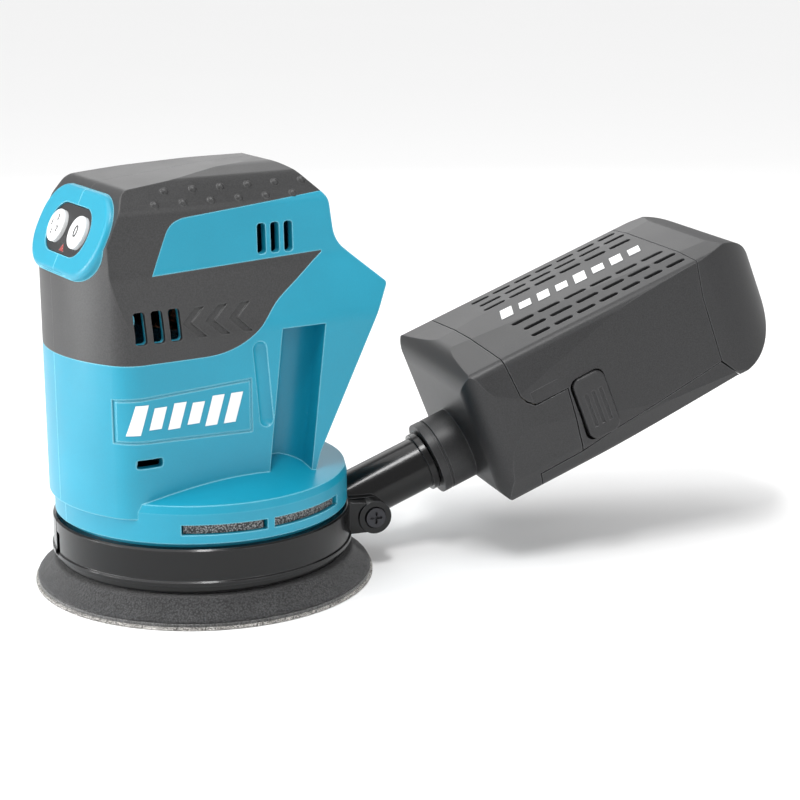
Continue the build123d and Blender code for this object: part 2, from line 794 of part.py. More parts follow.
def clamp_band():
    body = clamp_ring() & sector(band_joint, band_end)
    hooks = (clamp_ring() & sector(band_joint - 4.0, band_joint)) - block(-80, 80, -80, 80, 13.5, 21.7)
    ear = x_rod(6.3, 13.4, 19.6, clamp_y, clamp_z)
    web = (tube(61.0, 52.9, 13.6, 25.2) & sector(72.0, band_end + 1.0)) & block(13.4, 40, 0, 90, 0, 40)
    body = body + hooks + ear + web
    body = body - x_rod(2.2, 10, 22, clamp_y, clamp_z) - x_rod(4.2, 17.6, 22, clamp_y, clamp_z)
    return body - tube(51.6, 0, 5, 35) - tube(54.3, 0, ring_top, 40)


def dust_nozzle():
    ring = clamp_ring() & sector(band_end + 1.2, 360.0 + band_joint - 4.8)
    tongue = clamp_ring() & sector(360 + band_joint - 5.0, 360.0 + band_joint - 0.6)
    tongue = tongue & block(-80, 80, -80, 80, 13.9, 21.3)
    pipe = Rot(box_pitch, 0, 0) * straight_tube(tube_radius, 0, 48.0, tube_end)
    collar = Rot(box_pitch, 0, 0) * straight_tube(tube_radius + 1.3, 0, 92.4, 94.8)
    root = block(-11.0, 13.0, 48.0, 63.0, ring_bottom + 1.4, 25.6)
    lug = x_rod(6.3, 4.0, 13.0, clamp_y, clamp_z)
    branch = (pipe + collar + root + lug) - tube(52.9, 0, 0, 60)
    outside = ring + (branch - block(-40, 40, 0, 60, -5, ring_bottom))
    outside = outside - tube(54.3, 0, ring_top, 60)
    bore = Rot(box_pitch, 0, 0) * straight_tube(tube_bore_radius, 0, 30.0, tube_end + 2)
    outside = outside - (bore - tube(48.0, 0, 0, 60))
    return outside - x_rod(1.95, 10.4, 14.0, clamp_y, clamp_z) - tube(51.6, 0, 5, 35)


def clamp_screw():
    head = x_rod(3.8, 17.7, 20.4, clamp_y, clamp_z)
    cross = Pos(20.4, clamp_y, clamp_z) * (Box(2.2, 0.9, 4.6) + Box(2.2, 4.6, 0.9))
    return head - cross + x_rod(1.93, 10.6, 17.7, clamp_y, clamp_z)


def dust_seal():
    return tube(51.5, 47.0, 13.4, 16.0)


parts["clamp_band"] = in_nozzle(clamp_band())
parts["dust_nozzle"] = in_nozzle(dust_nozzle())
parts["clamp_screw"] = in_nozzle(clamp_screw())
parts["dust_seal"] = dust_seal()


# --- dust box (its own frame: X across, Y outward along the box, Z square) ---
def box_plan(inset):
    """Top view of the dust box, one side of its middle."""
    i = inset
    front = cap_front + i
    outline = Polyline((0, front), (38.6 - i, front), (40.4 - i, cap_seam), (36.6 - i, 214.0)) \
        + ThreePointArc((36.6 - i, 214.0), (24.0 - i * 0.7, 236.5 - i * 0.7), (0, box_end - i)) \
        + Line((0, box_end - i), (0, front))
    face = make_face(outline)
    sharp = [v for v in face.vertices() if abs(v.Y - front) < 0.01 and v.X > 20]
    return fillet(sharp, 11.0 - i)


def box_side(inset):
    """Side view of the dust box."""
    i = inset
    top = (cap_front + i, 37.6 - i)
    low = (cap_front + i, -21.6 + i)
    outline = Polyline((223.0, 36.2 - i), top, low, (213.0, -14.8 + i)) \
        + ThreePointArc((213.0, -14.8 + i), (box_end - 1.6 - i, 8.0), (223.0, 36.2 - i))
    face = make_face(outline)
    face = fillet(corner_of(face, top), 10.0 - i)
    return fillet(corner_of(face, low), 9.0 - i)


def box_front(inset):
    """End view of the dust box, one side of its middle."""
    i = inset
    return rounded([(0, -22.0 + i, 0), (26.0, -22.0 + i, 6.0), (34.5 - i, -18.0 + i, 6.0),
                    (38.0 - i, -10.0, 3.0), (40.2 - i, 7.0, 0.5), (40.4 - i, 20.5, 0.5),
                    (37.8 - i, 35.2 - i, 3.4 - i * 0.7), (0, 38.0 - i, 0)])


def box_envelope(inset):
    """Outer form of the whole dust box on its +X side."""
    plan = Pos(0, 0, -40) * extrude(box_plan(inset), 100)
    side = extrude(Plane.YZ * box_side(inset), 60, dir=(1, 0, 0))
    end = Pos(0, 300, 0) * extrude(Plane.XZ * box_front(inset), 300, dir=(0, -1, 0))
    return plan & side & end


def along(points):
    """Region drawn on the side view of the box, from its middle outwards on +X."""
    return side_prism(points, 80.0, -0.01)


ear_top = 14.3
cap_points = [(60, -60), (125.2, -60), (125.2, -12.4), (143.7, -12.0), (145.9, ear_top), (132.0, ear_top),
              (129.0, 17.2), (127.4, 20.4), (cap_seam, 60), (60, 60)]
cover_points = [(cap_seam + fit_gap, 60), (127.4 + fit_gap, 20.4), (129.2 + fit_gap, 17.4),
                (132.2 + fit_gap, ear_top + fit_gap), (146.0 + fit_gap, ear_top + fit_gap),
                (143.8 + fit_gap, -11.9), (158.0, -9.8), (208.3, -5.9), (209.2, 21.0), (215.6, 60)]
tray_points = [(125.6, -60), (125.6, -12.8), (143.9, -12.4), (158.0, -10.1), (208.0, -6.2), (213.8, -14.8),
               (240, -60)]
end_points = [(208.6, -6.0), (214.2, -14.8), (240, -60), (300, -60), (300, 60), (215.9, 60), (209.5, 21.0)]

box_outer = box_envelope(0.0)
box_inner = box_envelope(box_wall)
box_shell = box_outer - box_inner


def both_sides(shape):
    return shape + mirror(shape, about=Plane.YZ)


def cover_slots():
    """Three rows of air slots each side of a plain strip."""
    cuts = []
    for x, count, start in ((14.0, 6, 141.2), (22.0, 6, 142.6), (30.0, 7, 142.0)):
        pitch = 69.0 / count
        for k in range(count):
            mid = start + pitch * (k + 0.5)
            outline = Pos(x, mid) * RectangleRounded(2.8, pitch - 2.0, 1.3)
            cuts.append(Pos(0, 0, 28.0) * extrude(outline, 20.0))
    return cuts


latch_start = 147.8
latch_end = 161.0
hinge_x = 36.0
hinge_s = 159.4


def latch_window(margin):
    length = latch_end - latch_start
    outline = Pos(latch_start + length / 2 - margin, 3.3) * RectangleRounded(length + margin * 4,
                                                                             25.4 + margin * 2, 3.6)
    return Pos(30.0, 0, 0) * extrude(Plane.YZ * outline, 20.0, dir=(1, 0, 0))


def box_cap():
    body = both_sides(box_shell & along(cap_points))
    collar = straight_tube(14.3, 0, 95.6, 112.0)
    spigot = straight_tube(11.0, 0, 111.0, 130.8)
    body = body + (collar & block(-20, 20, 90, 111.4, -30, 30)) + spigot
    body = body - straight_tube(tube_radius + fit_gap, 0, 90.0, tube_end + 1.0)
    body = body - straight_tube(9.2, 0, 100.0, 140.0)
    ring_groove = straight_tube(15.0, 13.6, 98.8, 99.8)
    return body - ring_groove


def box_cover():
    half = box_shell & along(cover_points)
    for cut in cover_slots():
        half = half - cut
    half = half - latch_window(fit_gap)
    pocket = Pos(40.9, 138.6, 17.2) * Box(2.6, 14.0, 5.2)
    half = half - pocket
    return both_sides(half)


def box_tray():
    return both_sides(box_shell & along(tray_points))


def box_end_cap():
    return both_sides(box_shell & along(end_points))


def latch(side):
    """Finger tab hinged at its rear edge, with three grip ribs and a forward arm."""
    plate = latch_window(0.0) & block(36.4, 40.3, 140, 170, -30, 30)
    outer = [e for e in plate.edges() if e.center().X > 40.2]
    plate = fillet(outer, 0.8)
    for k in range(3):
        groove = Pos(40.3, 151.4 + 3.1 * k, 2.4) * Box(1.0, 1.4, 13.6)
        plate = plate - groove
    arm = block(34.4, 36.5, 134.0, 158.0, -2.0, 9.0)
    barrel = Pos(hinge_x, hinge_s, 3.3) * Cylinder(1.2, 20.0)
    whole = plate + arm + barrel
    return whole if side > 0 else mirror(whole, about=Plane.YZ)


def filter_frame():
    outline = Pos(0, 7.0) * RectangleRounded(65.0, 46.0, 8.0)
    plate = Pos(0, 130.4, 0) * extrude(Plane.XZ * outline, 1.6)
    return plate - straight_tube(11.4, 0, 120, 140)


def filter_bag():
    outer = Pos(0, 167.0, 7.2) * Box(62.0, 72.0, 38.0)
    outer = fillet(outer.edges().filter_by(Axis.Y), 9.0)
    inner = Pos(0, 166.0, 7.2) * Box(59.6, 72.0, 35.6)
    inner = fillet(inner.edges().filter_by(Axis.Y), 7.8)
    front = Pos(0, 131.6, 7.2) * Box(60.0, 1.2, 38.0) & outer
    return (outer - inner) + (front - straight_tube(11.4, 0, 120, 140))


parts["box_cap"] = in_box(box_cap())
parts["box_cover"] = in_box(box_cover())
parts["box_tray"] = in_box(box_tray())
parts["box_end"] = in_box(box_end_cap())
parts["latch_left"] = in_box(latch(1))
parts["latch_right"] = in_box(latch(-1))
parts["filter_frame"] = in_box(filter_frame())
parts["filter_bag"] = in_box(filter_bag())


os.makedirs("parts", exist_ok=True)
for name, shape in parts.items():
    export_step(shape, "parts/" + name + ".step")
print(len(parts), "parts")
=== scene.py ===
import json
import math
import bpy
import bmesh
from mathutils import Matrix, Vector


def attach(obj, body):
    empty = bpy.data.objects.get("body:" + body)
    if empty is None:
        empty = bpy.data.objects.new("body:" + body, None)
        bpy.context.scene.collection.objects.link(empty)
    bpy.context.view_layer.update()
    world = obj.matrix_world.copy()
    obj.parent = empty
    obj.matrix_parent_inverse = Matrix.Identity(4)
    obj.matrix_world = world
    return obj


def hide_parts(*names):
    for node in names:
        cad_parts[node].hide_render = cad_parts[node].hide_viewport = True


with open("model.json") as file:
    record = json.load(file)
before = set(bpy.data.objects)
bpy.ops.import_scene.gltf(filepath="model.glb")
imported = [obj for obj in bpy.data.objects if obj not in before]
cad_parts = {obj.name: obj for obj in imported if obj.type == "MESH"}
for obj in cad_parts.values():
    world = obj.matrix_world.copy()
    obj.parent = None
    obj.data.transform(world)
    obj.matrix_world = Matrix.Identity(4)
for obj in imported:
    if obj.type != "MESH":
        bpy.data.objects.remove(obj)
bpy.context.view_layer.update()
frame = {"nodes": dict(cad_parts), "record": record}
nodes = frame["nodes"]
mm = 0.001
print("frame loaded", len(nodes), "nodes")

# where the dust box sits: turned about the motor, then tipped up
nozzleYaw = math.radians(-11.8)
boxPitch = math.radians(22)
boxPlace = Matrix.Rotation(nozzleYaw, 4, "Z") @ Matrix.Rotation(boxPitch, 4, "X")

# the sloping switch panel: its middle, and its own across, up and out
panelMiddle = (0, -48.35 * mm, 133.1 * mm)
panelTilt = math.radians(26)
panelUp = Vector((0, math.sin(panelTilt), math.cos(panelTilt)))
panelOut = Vector((0, -math.cos(panelTilt), math.sin(panelTilt)))
panelPlace = Matrix.Translation(panelMiddle) @ Matrix(
    ((1, 0, 0, 0), (0, panelUp.y, panelOut.y, 0), (0, panelUp.z, panelOut.z, 0), (0, 0, 0, 1)))


# finishes: a value in a node tree, so that sums read as sums
class Level:
    def __init__(self, finish, socket):
        self.finish = finish
        self.socket = socket

    def sum(self, operation, first, second, clamp=False):
        settings = {"operation": operation, "use_clamp": clamp}
        return self.finish.add("ShaderNodeMath", settings, {0: first, 1: second})

    def __add__(self, other):
        return self.sum("ADD", self, other)

    def __radd__(self, other):
        return self.sum("ADD", other, self)

    def __sub__(self, other):
        return self.sum("SUBTRACT", self, other)

    def __rsub__(self, other):
        return self.sum("SUBTRACT", other, self)

    def __mul__(self, other):
        return self.sum("MULTIPLY", self, other)

    def __rmul__(self, other):
        return self.sum("MULTIPLY", other, self)

    def clip(self):
        return self.sum("ADD", self, 0.0, True)


class Finish:
    def __init__(self, name, shine):
        self.material = bpy.data.materials.new(name)
        self.material.use_nodes = True
        self.tree = self.material.node_tree
        self.tree.nodes.clear()
        self.shader = self.tree.nodes.new("ShaderNodeBsdfPrincipled")
        for socket, value in shine.items():
            self.shader.inputs[socket].default_value = value
        output = self.tree.nodes.new("ShaderNodeOutputMaterial")
        self.tree.links.new(self.shader.outputs[0], output.inputs[0])

    def add(self, kind, settings, sockets, output=0):
        node = self.tree.nodes.new(kind)
        for name, value in settings.items():
            setattr(node, name, value)
        for name, value in sockets.items():
            self.feed(node.inputs[name], value)
        return Level(self, node.outputs[output])

    def feed(self, socket, value):
        if isinstance(value, Level):
            self.tree.links.new(value.socket, socket)
        else:
            socket.default_value = value

    def paint(self, name, value):
        self.feed(self.shader.inputs[name], value)

    def spot(self, stretch=(1, 1, 1)):
        place = self.add("ShaderNodeTexCoord", {}, {}, "Object")
        if stretch == (1, 1, 1):
            return place
        return self.add("ShaderNodeVectorMath", {"operation": "MULTIPLY"}, {0: place, 1: stretch})

    def noise(self, place, size, detail=2.0):
        return self.add("ShaderNodeTexNoise", {}, {"Vector": place, "Scale": 1 / size, "Detail": detail})

    def cells(self, place, size):
        return self.add("ShaderNodeTexVoronoi", {"feature": "F1"}, {"Vector": place, "Scale": 1 / size})

    def blend(self, amount, first, second):
        return self.add("ShaderNodeMix", {"data_type": "RGBA"}, {0: amount, 6: first, 7: second}, 2)

    def bump(self, height, depth, under=None):
        sockets = {"Strength": 1.0, "Distance": depth, "Height": height}
        if under is not None:
            sockets["Normal"] = under
        return self.add("ShaderNodeBump", {}, sockets)

    def softEdge(self, radius):
        return self.add("ShaderNodeBevel", {"samples": 4}, {"Radius": radius})

    # edge mask from the softened normal; it carries the painted edge highlight, partly also wear
    def edges(self, soft, gain):
        flat = self.add("ShaderNodeNewGeometry", {}, {}, "Normal")
        facing = self.add("ShaderNodeVectorMath", {"operation": "DOT_PRODUCT"}, {0: soft, 1: flat}, "Value")
        return ((1 - facing) * gain).clip()


def tint(colour, factor):
    return tuple(min(1.0, c * factor) for c in colour) + (1.0,)


# moulded plastic and rubber: patchy tone, spark-eroded grain, paler edges that are partly rubbed wear and
# partly a painted highlight, softened corners
def moulded(name, look):
    shine = {"Specular IOR Level": look["gloss"], "Coat Weight": look["coat"],
             "Coat Roughness": look["coatRough"]}
    finish = Finish(name, shine)
    place = finish.spot()
    patch = finish.noise(place, look["patch"], 3.0)
    grain = finish.noise(place, look["grain"], 2.0)
    soft = finish.softEdge(look["corner"])
    # paler edges: partly rubbed wear, partly a painted highlight along the rounded edges
    rubbedAndHighlit = finish.edges(soft, look["rubAndHighlight"])
    darker = tint(look["colour"], look["dark"])
    paler = tint(look["colour"], look["pale"])
    base = finish.blend((patch * 2 - 0.5).clip(), darker, tint(look["colour"], 1.0))
    base = finish.blend((grain * 3 - 1).clip() * look["speckle"], base, paler)
    # edge colour mixed into the base colour: painted highlight on the edges, partly rubbed wear
    base = finish.blend(rubbedAndHighlit * look["edgeMix"], base, tint(look["edge"], 1.0))
    finish.paint("Base Color", base)
    rough = look["rough"] + (patch - 0.5) * look["roughVary"] + (grain - 0.5) * 0.08
    finish.paint("Roughness", rough.clip())
    finish.paint("Normal", finish.bump(grain, look["depth"], soft))
    return finish.material


# edge and edgeMix give the paler edge colour, partly rubbed wear and partly a painted highlight
mouldedLooks = {
    "blue_plastic": dict(
        colour=(0.005, 0.27, 0.40), dark=0.88, pale=1.35, edge=(0.30, 0.72, 0.84), gloss=0.5,
        coat=0.0, coatRough=0.2, patch=0.03, grain=0.0004, corner=0.0007, rubAndHighlight=9.0, speckle=0.12,
        edgeMix=0.75, rough=0.36, roughVary=0.08, depth=0.000012),
    "soft_grip": dict(
        colour=(0.020, 0.020, 0.0205), dark=0.75, pale=3.0, edge=(0.12, 0.12, 0.12), gloss=0.55,
        coat=0.0, coatRough=0.3, patch=0.02, grain=0.0005, corner=0.0007, rubAndHighlight=7.0, speckle=0.35,
        edgeMix=0.5, rough=0.44, roughVary=0.12, depth=0.00002),
    "black_gloss": dict(
        colour=(0.002, 0.002, 0.0022), dark=0.8, pale=1.4, edge=(0.10, 0.10, 0.105), gloss=0.28,
        coat=0.12, coatRough=0.06, patch=0.03, grain=0.002, corner=0.0005, rubAndHighlight=5.0, speckle=0.1,
        edgeMix=0.6, rough=0.22, roughVary=0.05, depth=0.000004),
    "black_matte": dict(
        colour=(0.012, 0.012, 0.0128), dark=0.7, pale=3.4, edge=(0.14, 0.14, 0.145), gloss=0.5,
        coat=0.0, coatRough=0.3, patch=0.025, grain=0.00045, corner=0.0006, rubAndHighlight=8.0, speckle=0.35,
        edgeMix=0.6, rough=0.42, roughVary=0.1, depth=0.00003),
    "white_plastic": dict(
        colour=(0.80, 0.81, 0.81), dark=0.94, pale=1.05, edge=(0.95, 0.95, 0.95), gloss=0.5,
        coat=0.2, coatRough=0.1, patch=0.006, grain=0.0003, corner=0.0004, rubAndHighlight=6.0, speckle=0.2,
        edgeMix=0.4, rough=0.3, roughVary=0.06, depth=0.000004),
    "carbon": dict(
        colour=(0.03, 0.03, 0.03), dark=0.6, pale=2.0, edge=(0.1, 0.1, 0.1), gloss=0.4, coat=0.0,
        coatRough=0.3, patch=0.004, grain=0.0002, corner=0.0002, rubAndHighlight=6.0, speckle=0.4, edgeMix=0.4,
        rough=0.55, roughVary=0.1, depth=0.00002),
    "board_green": dict(
        colour=(0.02, 0.13, 0.05), dark=0.6, pale=1.8, edge=(0.5, 0.45, 0.25), gloss=0.6, coat=0.4,
        coatRough=0.1, patch=0.004, grain=0.0012, corner=0.0001, rubAndHighlight=4.0, speckle=0.3, edgeMix=0.5,
        rough=0.3, roughVary=0.1, depth=0.00001),
    "lens": dict(
        colour=(0.35, 0.02, 0.015), dark=0.7, pale=1.4, edge=(0.7, 0.1, 0.08), gloss=0.6, coat=0.8,
        coatRough=0.05, patch=0.002, grain=0.0004, corner=0.0002, rubAndHighlight=4.0, speckle=0.1, edgeMix=0.3,
        rough=0.15, roughVary=0.04, depth=0.000002),
    "wire": dict(
        colour=(0.30, 0.012, 0.010), dark=0.8, pale=1.3, edge=(0.5, 0.05, 0.04), gloss=0.4,
        coat=0.0, coatRough=0.3, patch=0.004, grain=0.0006, corner=0.0002, rubAndHighlight=3.0, speckle=0.2,
        edgeMix=0.2, rough=0.45, roughVary=0.1, depth=0.00001),
    "magnet": dict(
        colour=(0.05, 0.05, 0.055), dark=0.7, pale=2.2, edge=(0.16, 0.16, 0.17), gloss=0.4,
        coat=0.0, coatRough=0.3, patch=0.006, grain=0.0003, corner=0.0003, rubAndHighlight=6.0, speckle=0.4,
        edgeMix=0.4, rough=0.6, roughVary=0.1, depth=0.00003)}


# metal: drawn or turned marks along one way, faint smears, bright edges painted in as a highlight
def metal(name, look):
    finish = Finish(name, {"Specular IOR Level": 0.5})
    marks = finish.noise(finish.spot(look["along"]), look["mark"], 3.0)
    smear = finish.noise(finish.spot(), look["smear"], 3.0)
    soft = finish.softEdge(0.0003)
    paintedEdgeHighlight = finish.edges(soft, 6.0)
    base = finish.blend(smear, tint(look["colour"], 0.78), tint(look["colour"], 1.0))
    # edges painted paler in the base colour: a painted highlight
    base = finish.blend(paintedEdgeHighlight * 0.6, base, tint(look["colour"], 1.5))
    finish.paint("Base Color", base)
    finish.paint("Metallic", look["metal"] - (smear * 3 - 1.8).clip() * 0.15)
    finish.paint("Roughness", (look["rough"] + (marks - 0.5) * 0.25 + (smear - 0.5) * 0.15).clip())
    finish.paint("Normal", finish.bump(marks, look["depth"], soft))
    return finish.material


metalLooks = {
    "steel": dict(
        colour=(0.52, 0.53, 0.55), along=(1, 1, 8), mark=0.001, smear=0.012, metal=1.0, rough=0.28,
        depth=0.000006),
    "black_steel": dict(
        colour=(0.05, 0.05, 0.055), along=(1, 1, 3), mark=0.0008, smear=0.005, metal=0.9,
        rough=0.36, depth=0.000008),
    "aluminium": dict(
        colour=(0.62, 0.63, 0.65), along=(1, 1, 1), mark=0.0007, smear=0.01, metal=1.0, rough=0.42,
        depth=0.00003),
    "copper": dict(
        colour=(0.62, 0.24, 0.10), along=(1, 1, 0.05), mark=0.0007, smear=0.008, metal=0.9,
        rough=0.3, depth=0.00015),
    "brass": dict(
        colour=(0.66, 0.46, 0.17), along=(1, 4, 1), mark=0.0008, smear=0.006, metal=1.0, rough=0.3,
        depth=0.000006)}


# foam, felt, nap, paper and grit: open cells or fibres, in two tones
def fibrous(name, look):
    finish = Finish(name, {"Specular IOR Level": look["gloss"], "Sheen Weight": look["sheen"],
                           "Sheen Roughness": 0.6})
    place = finish.spot(look["along"])
    cell = finish.cells(place, look["cell"])
    fleck = finish.noise(place, look["fleck"], 3.0)
    patch = finish.noise(finish.spot(), look["patch"], 3.0)
    base = finish.blend((cell * 1.6 - 0.2).clip(), tint(look["light"], 1.0), tint(look["colour"], 1.0))
    base = finish.blend((fleck * 5 - 2.6).clip() * look["fleckMix"], base, tint(look["light"], 1.6))
    base = finish.blend((patch * 2 - 0.6).clip() * 0.5, base, tint(look["colour"], 0.8))
    finish.paint("Base Color", base)
    finish.paint("Roughness", (look["rough"] + (fleck - 0.5) * 0.2).clip())
    finish.paint("Normal", finish.bump(fleck * 0.6 - cell, look["depth"]))
    return finish.material


fibrousLooks = {
    "foam": dict(
        colour=(0.012, 0.012, 0.0125), light=(0.055, 0.055, 0.057), along=(1, 1, 1), cell=0.0007,
        fleck=0.0006, fleckMix=0.6, patch=0.012, gloss=0.3, sheen=0.15, rough=0.85, depth=0.0002),
    "abrasive": dict(
        colour=(0.05, 0.045, 0.04), light=(0.62, 0.60, 0.57), along=(1, 1, 1), cell=0.0005,
        fleck=0.0006, fleckMix=1.0, patch=0.01, gloss=0.6, sheen=0.0, rough=0.6, depth=0.0003),
    "hook_fabric": dict(
        colour=(0.03, 0.03, 0.03), light=(0.12, 0.12, 0.12), along=(1, 1, 0.5), cell=0.0006,
        fleck=0.0005, fleckMix=0.8, patch=0.01, gloss=0.2, sheen=0.5, rough=0.9, depth=0.0003),
    "felt": dict(
        colour=(0.05, 0.05, 0.055), light=(0.16, 0.16, 0.17), along=(1, 1, 2), cell=0.0009,
        fleck=0.0005, fleckMix=0.7, patch=0.008, gloss=0.2, sheen=0.5, rough=0.95, depth=0.0003),
    "card": dict(
        colour=(0.42, 0.32, 0.22), light=(0.60, 0.49, 0.36), along=(1, 1, 4), cell=0.0012,
        fleck=0.0008, fleckMix=0.4, patch=0.015, gloss=0.3, sheen=0.0, rough=0.8, depth=0.00005),
    "filter_paper": dict(
        colour=(0.62, 0.57, 0.48), light=(0.78, 0.74, 0.66), along=(1, 1, 1), cell=0.0016,
        fleck=0.0006, fleckMix=0.4, patch=0.012, gloss=0.2, sheen=0.1, rough=0.9, depth=0.0001)}

finishes = {}
for slotName, look in mouldedLooks.items():
    finishes[slotName] = moulded(slotName.title().replace("_", ""), look)
for slotName, look in metalLooks.items():
    finishes[slotName] = metal(slotName.title().replace("_", ""), look)
for slotName, look in fibrousLooks.items():
    finishes[slotName] = fibrous(slotName.title().replace("_", ""), look)
for subpart in frame["record"]["subparts"]:
    mesh = nodes[subpart["node"]].data
    mesh.materials.clear()
    mesh.materials.append(finishes[subpart["material_slot"]])
print("finishes made", len(finishes))


# hands-on helpers
def clearSelection():
    if bpy.context.object and bpy.context.object.mode != "OBJECT":
        bpy.ops.object.mode_set(mode="OBJECT")
    bpy.ops.object.select_all(action="DESELECT")


def pick(piece):
    clearSelection()
    piece.select_set(True)
    bpy.context.view_layer.objects.active = piece


def settle(piece, place):
    piece.data.transform(place @ piece.matrix_world)
    piece.matrix_world = Matrix.Identity(4)


def useModifier(piece, kind, settings):
    pick(piece)
    modifier = piece.modifiers.new(kind.title(), kind)
    for name, value in settings.items():
        setattr(modifier, name, value)
    bpy.ops.object.modifier_apply(modifier=modifier.name)


def joined(name, pieces):
    clearSelection()
    for piece in pieces:
        piece.select_set(True)
    bpy.context.view_layer.objects.active = pieces[0]
    if len(pieces) > 1:
        bpy.ops.object.join()
    pieces[0].name = name
    pieces[0].data.name = name
    return pieces[0]


def finishPiece(piece, body, slotName, material=None):
    piece.data.materials.clear()
    piece.data.materials.append(material or finishes[slotName])
    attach(piece, body)


mergeGap = 0.000005


# a copy of a CAD solid with its doubles merged, ready to be worked on
def mergedCopy(nodeName, name):
    copy = bpy.data.objects.new(name, nodes[nodeName].data.copy())
    bpy.context.collection.objects.link(copy)
    pick(copy)
    bpy.ops.object.mode_set(mode="EDIT")
    bpy.ops.mesh.select_all(action="SELECT")
    bpy.ops.mesh.remove_doubles(threshold=mergeGap)
    bpy.ops.mesh.normals_make_consistent(inside=False)
    bpy.ops.object.mode_set(mode="OBJECT")
    return copy


def crumple(piece, name, size, depth, middle=0.5):
    texture = bpy.data.textures.new(name, "CLOUDS")
    texture.noise_scale = size
    useModifier(piece, "DISPLACE", {"texture": texture, "strength": depth, "mid_level": middle,
                                    "texture_coords": "LOCAL"})


# soft pieces: foam pad, felt ring, filter bag
foamPad = dict(voxel=0.0008, smoothing=3, lumps=0.004, lumpDepth=0.0002)
pad = mergedCopy("backing_pad", "foamPad")
useModifier(pad, "REMESH", {"mode": "VOXEL", "voxel_size": foamPad["voxel"], "use_smooth_shade": True})
useModifier(pad, "SMOOTH", {"factor": 0.5, "iterations": foamPad["smoothing"]})
crumple(pad, "foamLumps", foamPad["lumps"], foamPad["lumpDepth"], 0.8)
finishPiece(pad, "pad", "foam")
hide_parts("backing_pad")
print("foam pad", len(pad.data.polygons))

feltRing = dict(voxel=0.0006, lumps=0.002, lumpDepth=0.0002)
felt = mergedCopy("dust_seal", "feltRing")
useModifier(felt, "REMESH", {"mode": "VOXEL", "voxel_size": feltRing["voxel"], "use_smooth_shade": True})
crumple(felt, "feltLumps", feltRing["lumps"], feltRing["lumpDepth"], 1.0)
finishPiece(felt, "nozzle", "felt")
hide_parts("dust_seal")
print("felt ring", len(felt.data.polygons))

dustBag = dict(voxel=0.0018, smoothing=6, folds=0.012, foldDepth=0.0016, creases=0.004, creaseDepth=0.0004)
bag = mergedCopy("filter_bag", "dustBag")
useModifier(bag, "REMESH", {"mode": "VOXEL", "voxel_size": dustBag["voxel"], "use_smooth_shade": True})
useModifier(bag, "SMOOTH", {"factor": 0.5, "iterations": dustBag["smoothing"]})
crumple(bag, "bagFolds", dustBag["folds"], dustBag["foldDepth"], 1.0)
crumple(bag, "bagCreases", dustBag["creases"], dustBag["creaseDepth"], 1.0)
finishPiece(bag, "container", "filter_paper")
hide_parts("filter_bag")
print("dust bag", len(bag.data.polygons))


# printed marks: plain slanted bars where a mark is wanted, in white
printedBars = dict(count=6, width=0.0046, gap=0.0026, height=0.0105, slant=0.0032, thick=0.00015,
                   cuts=10, lift=0.00002, side=(36.4, -22.0, 71.3))


# a row of flat bars, drawn down onto the surface of a CAD node and given the thickness of ink
def barRow(name, place, look, growth, ground, towards):
    bars = []
    pitch = look["width"] + look["gap"]
    for index in range(look["count"]):
        tall = look["height"] * growth[index % len(growth)]
        clearSelection()
        bpy.ops.mesh.primitive_grid_add(x_subdivisions=look["cuts"], y_subdivisions=look["cuts"] * 2, size=1,
                                        location=((index - (look["count"] - 1) / 2) * pitch, 0, 0))
        bar = bpy.context.object
        bar.scale = (look["width"], tall, 1)
        bpy.ops.object.transform_apply(location=True, rotation=False, scale=True)
        bpy.ops.object.mode_set(mode="EDIT")
        shape = bmesh.from_edit_mesh(bar.data)
        for vertex in shape.verts:
            vertex.co.x += look["slant"] * vertex.co.y / look["height"]
        bmesh.update_edit_mesh(bar.data)
        bpy.ops.object.mode_set(mode="OBJECT")
        bars.append(bar)
    row = joined(name, bars)
    settle(row, place)
    wrap = {"target": nodes[ground], "offset": look["lift"], "wrap_mode": "ABOVE_SURFACE"}
    wrap.update(towards)
    useModifier(row, "SHRINKWRAP", wrap)
    useModifier(row, "SOLIDIFY", {"thickness": look["thick"], "offset": 1})
    return row


printWhite = moulded("PrintWhite", dict(mouldedLooks["white_plastic"], colour=(0.86, 0.87, 0.87), rough=0.4))
alongX = {"wrap_method": "PROJECT", "use_project_x": True, "use_positive_direction": True,
          "use_negative_direction": True, "project_limit": 0.01}
halves = {1: ("sideMarkLeft", "housing_left"), -1: ("sideMarkRight", "housing_right")}
for side, (name, ground) in halves.items():
    turn = Matrix(((0, 0, side, 0), (side, 0, 0, 0), (0, 1, 0, 0), (0, 0, 0, 1)))
    out, along, up = (value * mm for value in printedBars["side"])
    place = Matrix.Translation((side * out, along, up)) @ turn
    mark = barRow(name, place, printedBars, (1.0, 0.72, 0.86, 0.72, 1.0), ground, alongX)
    finishPiece(mark, "housing", "white_plastic", printWhite)

boxBars = dict(printedBars, count=8, width=0.0052, gap=0.0030, height=0.0094, middle=(0, 175, 38.2))
turn = Matrix(((0, -1, 0, 0), (1, 0, 0, 0), (0, 0, 1, 0), (0, 0, 0, 1)))
place = boxPlace @ Matrix.Translation([value * mm for value in boxBars["middle"]]) @ turn
boxMark = barRow("boxMark", place, boxBars, (1.0, 0.7, 0.85, 0.7), "box_cover",
                 {"wrap_method": "NEAREST_SURFACEPOINT"})
finishPiece(boxMark, "container", "white_plastic", printWhite)
print("printed marks done")


# symbols on the two keys
keySymbols = dict(face=0.0012, size=0.0062, small=0.0030, thick=0.00012)
keyX = 9.2 * mm
startSigns = (("I", -2.7, 0.4), ("1", -0.9, -2.7), ("2", 2.5, -1.2), ("3", 0.9, 2.7))


